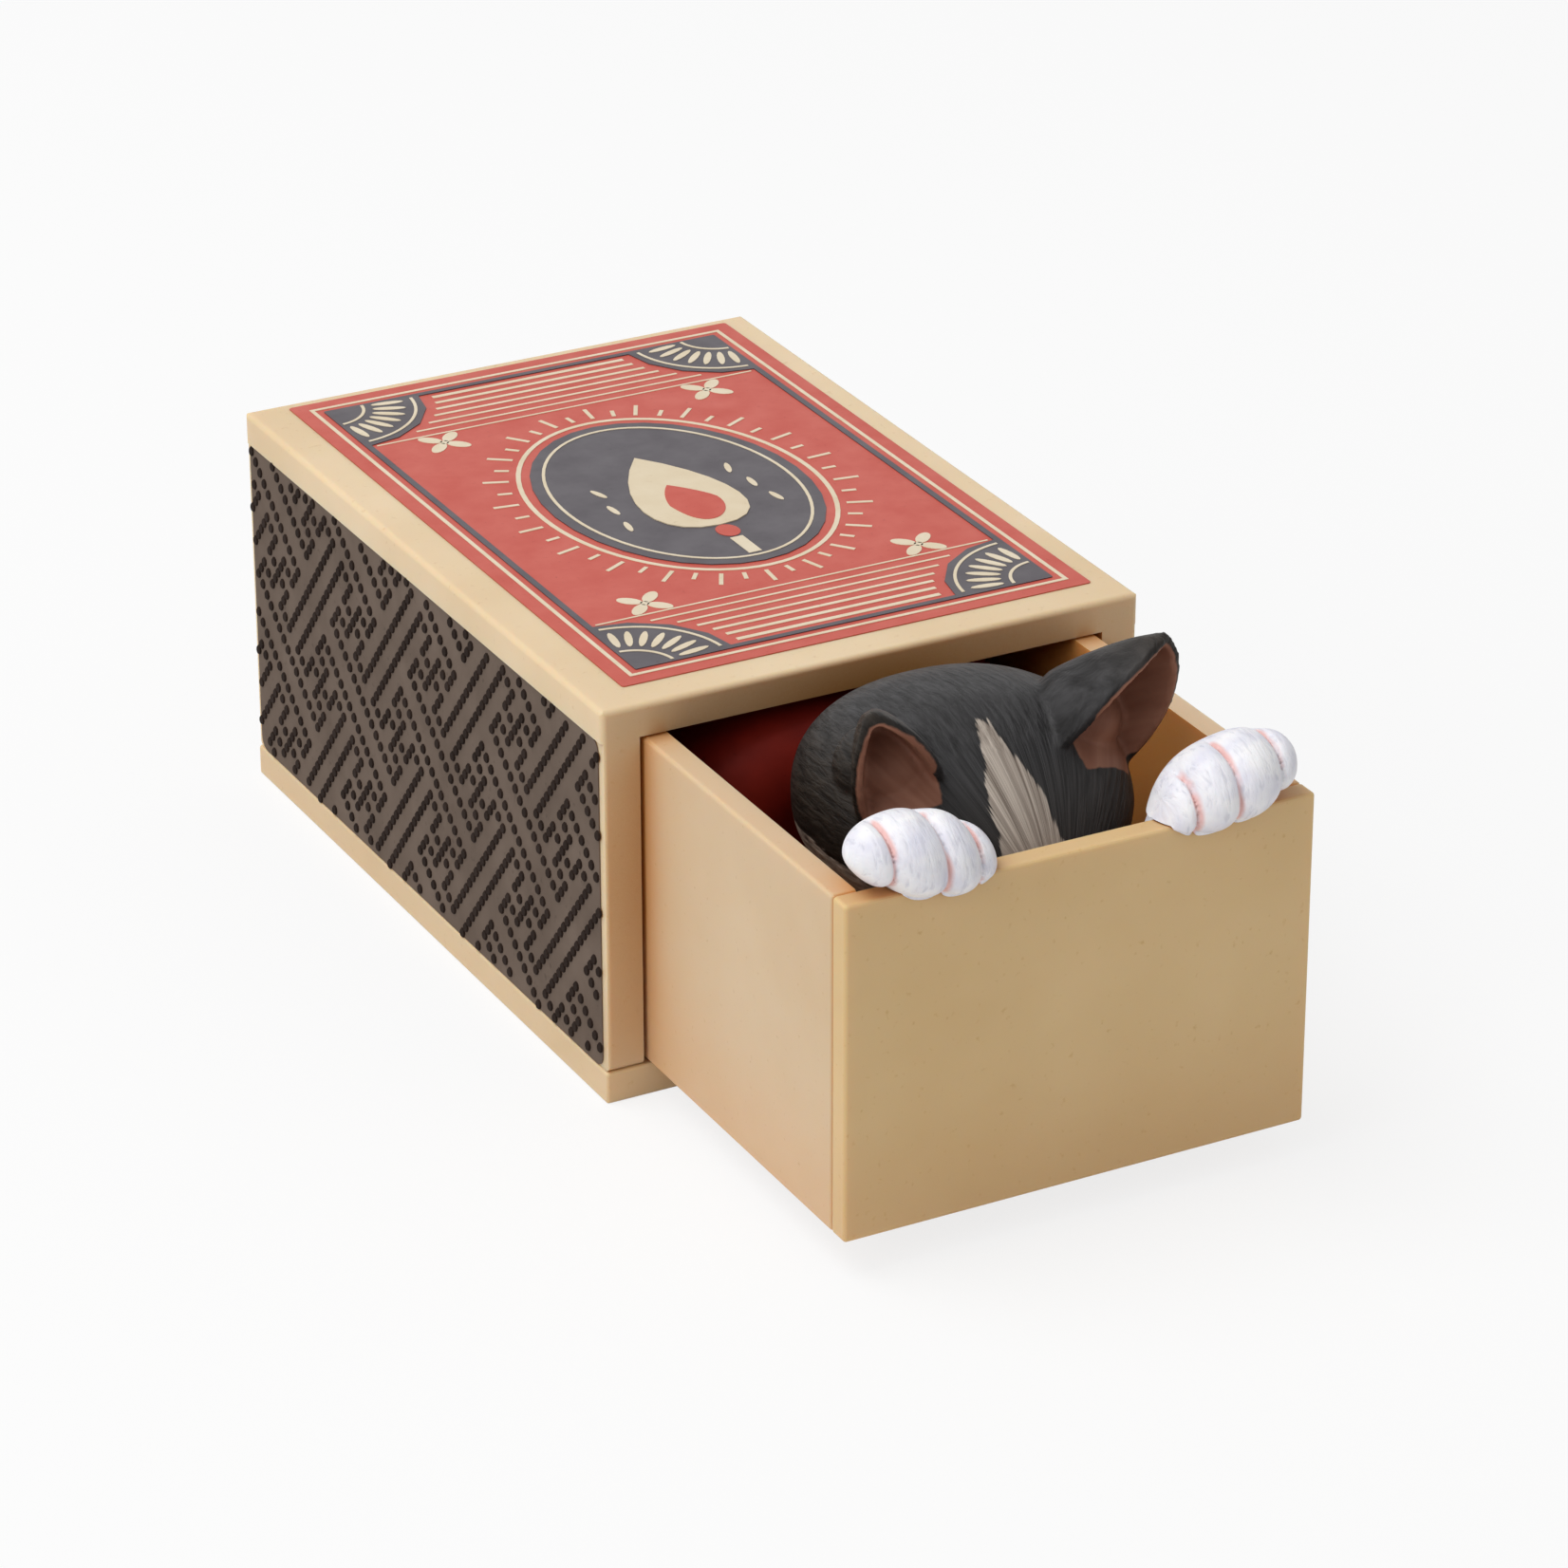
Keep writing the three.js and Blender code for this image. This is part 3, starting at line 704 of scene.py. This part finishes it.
head_mesh = bpy.data.meshes.new("cat_head_fur")
head_skin.to_mesh(head_mesh)
head_skin.free()
for surface in ear_surfaces:
    surface.free()
for polygon in head_mesh.polygons:
    polygon.use_smooth = True
add_values(head_mesh, "fur", "FLOAT_VECTOR", fur_values)
add_values(head_mesh, "inner_ear", "FLOAT", inner_values)
add_values(head_mesh, "white", "FLOAT", white_values)
head = bpy.data.objects.new("cat_head_fur", head_mesh)
bpy.context.collection.objects.link(head)

# Strands that follow the combing, for the head and the paws
strand_group, strand_in, strand_out = new_group(
    "combed_strands",
    (("Place", VECTOR, (0, 0, 0)), ("Across", FLOAT, 3.2), ("Along", FLOAT, 0.55)),
    (("Strand", FLOAT), ("Clump", FLOAT)),
)
split_place = add_node(strand_group, "ShaderNodeSeparateXYZ", (), ((strand_in.outputs["Place"], 0),))
across = add_node(
    strand_group, "ShaderNodeMath", (),
    ((split_place.outputs["X"], 0), (strand_in.outputs["Across"], 1)),
)
across.operation = "MULTIPLY"
along_fur = add_node(
    strand_group, "ShaderNodeMath", (),
    ((split_place.outputs["Y"], 0), (strand_in.outputs["Along"], 1)),
)
along_fur.operation = "MULTIPLY"
comb = add_node(
    strand_group, "ShaderNodeCombineXYZ", (),
    ((across.outputs[0], "X"), (along_fur.outputs[0], "Y"), (split_place.outputs["Z"], "Z")),
)
strands = add_node(
    strand_group, "ShaderNodeTexNoise",
    (("Scale", 1.0), ("Detail", 3.0), ("Roughness", 0.6), ("Distortion", 0.3)),
    ((comb.outputs[0], "Vector"),),
)
clumps = add_node(
    strand_group, "ShaderNodeTexNoise", (("Scale", 0.35), ("Detail", 2.0)), ((comb.outputs[0], "Vector"),),
)
strand_value = map_range(strand_group, strands.outputs["Fac"], 0.32, 0.68)
strand_group.links.new(strand_value, strand_out.inputs["Strand"])
strand_group.links.new(map_range(strand_group, clumps.outputs["Fac"], 0.35, 0.65), strand_out.inputs["Clump"])


def attribute_node(tree, name, socket="Fac"):
    node = tree.nodes.new("ShaderNodeAttribute")
    node.attribute_name = name
    return node.outputs[socket]


fur_paint = bpy.data.materials.new("head_fur_paint")
fur_paint.use_nodes = True
fur_tree = fur_paint.node_tree
fur_shader = fur_tree.nodes["Principled BSDF"]
fur_strands = fur_tree.nodes.new("ShaderNodeGroup")
fur_strands.node_tree = strand_group
fur_strands.inputs["Across"].default_value = 3.4
fur_strands.inputs["Along"].default_value = 0.6
fur_tree.links.new(attribute_node(fur_tree, "fur", "Vector"), fur_strands.inputs["Place"])
black_tone = mix_colors(fur_tree, fur_strands.outputs["Strand"], rgb(31, 30, 30), rgb(62, 61, 62))
# Painted shade: the black fur turns darker and browner towards the bottom of the head and towards its sides.
fur_shade_tone = mix_colors(fur_tree, fur_strands.outputs["Strand"], rgb(22, 18, 15), rgb(50, 43, 36))
fur_place = fur_tree.nodes.new("ShaderNodeTexCoord")
fur_split = add_node(fur_tree, "ShaderNodeSeparateXYZ", (), ((fur_place.outputs["Object"], 0),))
low_fur_shade = map_range(fur_tree, fur_split.outputs["Z"], 0.0245, 0.019, 0.0, 0.85)
side_reach = add_node(fur_tree, "ShaderNodeMath", (), ((fur_split.outputs["X"], 0),))
side_reach.operation = "ABSOLUTE"
side_fur_shade = map_range(fur_tree, side_reach.outputs[0], 0.0055, 0.009, 0.0, 0.9)
fur_shade_share = add_node(fur_tree, "ShaderNodeMath", (), ((low_fur_shade, 0), (side_fur_shade, 1)))
fur_shade_share.operation = "MAXIMUM"
fur_tone = mix_colors(fur_tree, fur_shade_share.outputs[0], black_tone, fur_shade_tone)
white_tone = mix_colors(fur_tree, fur_strands.outputs["Strand"], rgb(120, 108, 98), rgb(196, 184, 172))
white_edge = add_node(
    fur_tree, "ShaderNodeMath", ((1, 0.5),), ((fur_strands.outputs["Strand"], 0),),
)
white_edge.operation = "SUBTRACT"
white_sway = add_node(
    fur_tree, "ShaderNodeMath", ((1, 0.7),),
    ((white_edge.outputs[0], 0), (attribute_node(fur_tree, "white"), 2)),
)
white_sway.operation = "MULTIPLY_ADD"
white_share = map_range(fur_tree, white_sway.outputs[0], 0.38, 0.62)
coat_tone = mix_colors(fur_tree, white_share, fur_tone, white_tone)
inner_tone = mix_colors(fur_tree, fur_strands.outputs["Clump"], rgb(132, 88, 70), rgb(158, 112, 92))
inner_share = map_range(fur_tree, attribute_node(fur_tree, "inner_ear"), 0.3, 0.7)
head_tone = mix_colors(fur_tree, inner_share, coat_tone, inner_tone)
fur_tree.links.new(head_tone, fur_shader.inputs["Base Color"])
fur_relief = add_node(
    fur_tree, "ShaderNodeBump", (("Distance", 0.00012),),
    ((fur_strands.outputs["Strand"], "Height"),),
)
relief_share = map_range(fur_tree, attribute_node(fur_tree, "inner_ear"), 0.3, 0.7, 0.55, 0.06)
fur_tree.links.new(relief_share, fur_relief.inputs["Strength"])
fur_tree.links.new(fur_relief.outputs["Normal"], fur_shader.inputs["Normal"])
fur_shader.inputs["Roughness"].default_value = 0.5
fur_shader.inputs["Specular IOR Level"].default_value = 0.15
head_mesh.materials.append(fur_paint)
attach(head, "drawer")
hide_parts("cat_head")


# Cat's face
# Eyes, pupils and nose are plain painted domes on the moulding.
# They lie behind the drawer's front and don't show from outside.
def face_piece(name, eggs, material):
    shape = bmesh.new()
    for centre, halves in eggs:
        egg(shape, centre, halves, 24, 16)
    return finish_mesh(name, shape, "drawer", material)


eye_paint = clouded_material("eye_paint", rgb(150, 148, 60), rgb(120, 122, 44), 900.0, 0.2, 0.0)[0]
pupil_paint = clouded_material("pupil_paint", rgb(16, 16, 16), rgb(10, 10, 12), 900.0, 0.15, 0.0)[0]
nose_paint = clouded_material("nose_paint", rgb(196, 130, 122), rgb(178, 112, 106), 900.0, 0.4, 0.1)[0]
eye_places = [(side * 3.9, -42.2, 18.4) for side in (-1, 1)]
face_piece("cat_eyes", [(place, (1.5, 1.5, 1.35)) for place in eye_places], eye_paint)
face_piece("cat_pupils", [((x * 1.02, y - 1.12, z), (0.55, 0.5, 0.9)) for x, y, z in eye_places], pupil_paint)
face_piece("cat_nose", [((0, -46.3, 16.6), (0.95, 0.55, 0.6))], nose_paint)


# Cat's back
# Behind the head the figure goes on as a low rounded form in the sleeve's shade.
# It is a vinyl moulding that stands on the drawer's floor, sprayed in dark red paint.
back_halves = (12.6, 6.5, 9.3)
back_middle = Vector((0, -21.0, 13.0))
back_front = -26.82
back_fullness = 3
red_coat, _, red_shader, _ = clouded_material(
    "red_coat", rgb(128, 30, 18), rgb(104, 22, 14), 260.0, 0.55, 0.3,
)
red_shader.inputs["Specular IOR Level"].default_value = 0.11
back_shape = bmesh.new()
for vert in egg(back_shape, (0, 0, 0), (1, 1, 1), 96, 64):
    unit = vert.co / MM
    unit /= sum(abs(part) ** back_fullness for part in unit) ** (1 / back_fullness)
    place = back_middle + Vector(part * half for part, half in zip(unit, back_halves))
    place.y = max(place.y, back_front)
    place.z = max(place.z, floor_level / MM)
    vert.co = place * MM
back = finish_mesh("cat_back_coat", back_shape, "drawer", red_coat)
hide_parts("cat_back")


# Paws
# Each paw lies over the drawer's front with its foreleg behind it. They are white with a lavender wash,
# and pink paint in the creases between the toes.
toe_creases = (12.14, 9.12, 6.77)
toe_edges = (14.4,) + toe_creases + (4.6,)
toe_bulge = 0.7
paw_across, paw_along, paw_height = 9.5, -47.3, 24.0
paw_halves = (4.45, 3.0, 2.6)
paw_tilt = 0.2
paw_flatness = 0.73
foreleg_across, foreleg_along, foreleg_height = 7.8, -45.0, 12.9
foreleg_halves = (2.6, 1.9, 10.6)
underside, hang_depth, hang_round = 22.85, 1.05, 0.25
crease_half = 0.2
rim_top = 22.93
slab_front = -48.82
slab_back = -47.08
paw_paint = bpy.data.materials.new("paw_paint")
paw_paint.use_nodes = True
paw_tree = paw_paint.node_tree
paw_shader = paw_tree.nodes["Principled BSDF"]
paw_place = paw_tree.nodes.new("ShaderNodeTexCoord")
paw_strands = paw_tree.nodes.new("ShaderNodeGroup")
paw_strands.node_tree = strand_group
paw_strands.inputs["Across"].default_value = 3.2
paw_strands.inputs["Along"].default_value = 0.8
paw_tree.links.new(attribute_node(paw_tree, "fur", "Vector"), paw_strands.inputs["Place"])
wash = add_node(
    paw_tree, "ShaderNodeTexNoise", (("Scale", 600.0),), ((paw_place.outputs["Object"], "Vector"),),
)
wash_share = map_range(paw_tree, wash.outputs["Fac"], 0.35, 0.7)
paw_white = mix_colors(paw_tree, wash_share, rgb(246, 245, 247), rgb(224, 223, 235))
groove_share = map_range(paw_tree, paw_strands.outputs["Strand"], 0.0, 0.35, 0.45, 0.0)
paw_combed = mix_colors(paw_tree, groove_share, paw_white, rgb(186, 186, 200))
pink_tone = mix_colors(paw_tree, paw_strands.outputs["Clump"], rgb(226, 168, 164), rgb(236, 196, 192))
pink_noise = add_node(
    paw_tree, "ShaderNodeMath", (),
    ((attribute_node(paw_tree, "crease"), 0), (paw_strands.outputs["Clump"], 1)),
)
pink_noise.operation = "MULTIPLY"
pink_share = map_range(paw_tree, pink_noise.outputs[0], 0.12, 0.55)
paw_tone = mix_colors(paw_tree, pink_share, paw_combed, pink_tone)
paw_tree.links.new(paw_tone, paw_shader.inputs["Base Color"])
paw_relief = add_node(
    paw_tree, "ShaderNodeBump", (("Strength", 0.4), ("Distance", 0.0001)),
    ((paw_strands.outputs["Strand"], "Height"),),
)
paw_tree.links.new(paw_relief.outputs["Normal"], paw_shader.inputs["Normal"])
paw_shader.inputs["Roughness"].default_value = 0.5
paw_shader.inputs["Subsurface Weight"].default_value = 0.12
paw_shader.inputs["Subsurface Radius"].default_value = (1.0, 0.7, 0.6)
paw_shader.inputs["Subsurface Scale"].default_value = 0.0004


def toe_profile(across):
    """Height of the toe under this distance from the middle, 0 in a crease and 1 on a toe's crest."""
    for outer, inner in zip(toe_edges, toe_edges[1:]):
        if inner <= across <= outer:
            half = (outer - inner) / 2
            share = (across - (outer + inner) / 2) / half
            return math.sqrt(max(0.0, 1 - share * share))
    return 0.0


def paw_piece(name, side, node):
    shape = bmesh.new()
    paw_centre = Vector((side * paw_across, paw_along, paw_height))
    verts = egg(shape, paw_centre, paw_halves, 160, 120)
    for vert in verts:
        place = vert.co / MM
        place.z = max(place.z, paw_centre.z + paw_flatness * (place.z - paw_centre.z))
        out = place - paw_centre
        front = soft_step(-out.y + 0.8 * abs(out.z), -0.6, 2.2)
        bulge = toe_bulge * (toe_profile(abs(place.x)) - 0.75) * front
        direction = Vector((0, out.y / 3.0, out.z / 2.45))
        if direction.length > 0.01:
            place += direction.normalized() * bulge * min(1.0, direction.length * 1.6)
        place.z += paw_tilt * (abs(place.x) - paw_across)
        if side > 0:
            place.z -= 0.1 * max(0.0, 8.0 - place.x) ** 2
        hang = hang_depth * soft_step(paw_halves[0] - abs(abs(place.x) - paw_across), 0, 2.2)
        lowest = underside - hang
        place.z = lowest + hang_round * math.log1p(math.exp((place.z - lowest) / hang_round))
        vert.co = place * MM
    foreleg_centre = (side * foreleg_across, foreleg_along, foreleg_height)
    foreleg = egg(shape, foreleg_centre, foreleg_halves, 32, 32)
    for vert in foreleg:
        vert.co.z = max(vert.co.z, floor_level)
    for vert in shape.verts:
        place = vert.co / MM
        if slab_front < place.y < slab_back and place.z < rim_top:
            gaps = {"top": rim_top - place.z, "front": place.y - slab_front, "back": slab_back - place.y}
            nearest = min(gaps, key=gaps.get)
            if nearest == "top":
                vert.co.z = rim_top * MM
            else:
                vert.co.y = (slab_front if nearest == "front" else slab_back) * MM
    paw = finish_mesh(name, shape, "drawer", paw_paint)
    fur, crease = [], []
    for vert in paw.data.vertices:
        place = vert.co / MM
        out = place - paw_centre
        fur.append((place.x, math.atan2(out.z, -out.y) * 2.6, 0.2 * place.z))
        gap = min(abs(abs(place.x) - line) for line in toe_creases)
        front = soft_step(-out.y + 0.5 * out.z, -0.3, 1.0) * (place.z > 21)
        crease.append(math.exp(-((gap / crease_half) ** 2)) * front)
    add_values(paw.data, "fur", "FLOAT_VECTOR", fur)
    add_values(paw.data, "crease", "FLOAT", crease)
    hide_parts(node)
    return paw


paw_piece("left_paw_toes", -1, "left_paw")
paw_piece("right_paw_toes", 1, "right_paw")


# Studio
# A pale table runs back without an edge, under a large soft lamp above and a weaker one at the left.
# The view sees it almost white, with the object's shadow on it.
floor_half = 3.0
floor_white = 0.8
world_light, world_white = 0.45, 1.0
floor_shape = bmesh.new()
bmesh.ops.create_grid(floor_shape, x_segments=1, y_segments=1, size=floor_half)
floor_mesh = bpy.data.meshes.new("studio_floor")
floor_shape.to_mesh(floor_mesh)
floor_shape.free()
floor = bpy.data.objects.new("studio_floor", floor_mesh)
bpy.context.collection.objects.link(floor)
floor_paint = bpy.data.materials.new("floor_paint")
floor_paint.use_nodes = True
floor_tree = floor_paint.node_tree
floor_shader = floor_tree.nodes["Principled BSDF"]
floor_shader.inputs["Base Color"].default_value = rgb(236, 236, 236)
floor_shader.inputs["Roughness"].default_value = 0.9
floor_shader.inputs["Specular IOR Level"].default_value = 0.0


def rays_seen(tree):
    """1 for a ray that the view, a gloss or a clear piece sends out, and 0 for the rest of the light."""
    rays = tree.nodes.new("ShaderNodeLightPath")
    seen = rays.outputs["Is Camera Ray"]
    for kind in ("Is Glossy Ray", "Is Transmission Ray"):
        either = add_node(tree, "ShaderNodeMath", (), ((seen, 0), (rays.outputs[kind], 1)))
        either.operation = "MAXIMUM"
        seen = either.outputs[0]
    return seen


floor_glow = add_node(floor_tree, "ShaderNodeEmission", (("Color", (1, 1, 1, 1)), ("Strength", 1.0)))
floor_share = map_range(floor_tree, rays_seen(floor_tree), 0, 1, 0.0, floor_white)
floor_blend = add_node(
    floor_tree, "ShaderNodeMixShader", (),
    ((floor_share, 0), (floor_shader.outputs[0], 1), (floor_glow.outputs[0], 2)),
)
floor_tree.links.new(floor_blend.outputs[0], floor_tree.nodes["Material Output"].inputs["Surface"])
floor_mesh.materials.append(floor_paint)

world = bpy.data.worlds.new("studio_world")
bpy.context.scene.world = world
world.use_nodes = True
world_tree = world.node_tree
world_tree.nodes["Background"].inputs["Color"].default_value = (1, 1, 1, 1)
world_strength = add_node(
    world_tree, "ShaderNodeMapRange", (("To Min", world_light), ("To Max", world_white)),
    ((rays_seen(world_tree), "Value"),),
)
world_tree.links.new(world_strength.outputs["Result"], world_tree.nodes["Background"].inputs["Strength"])


def soft_lamp(name, place, aim, size, power):
    data = bpy.data.lights.new(name, "AREA")
    data.shape = "DISK"
    data.size = size
    data.energy = power
    lamp = bpy.data.objects.new(name, data)
    direction = Vector(aim) - Vector(place)
    lamp.matrix_world = Matrix.Translation(place) @ direction.to_track_quat("-Z", "Y").to_matrix().to_4x4()
    bpy.context.collection.objects.link(lamp)
    return lamp


soft_lamp("lamp_above", (-0.25, 0.1, 0.6), (0, -0.02, 0), 0.5, 2.5)
soft_lamp("lamp_left", (-0.6, -0.25, 0.35), (0, -0.02, 0.01), 0.4, 0.9)
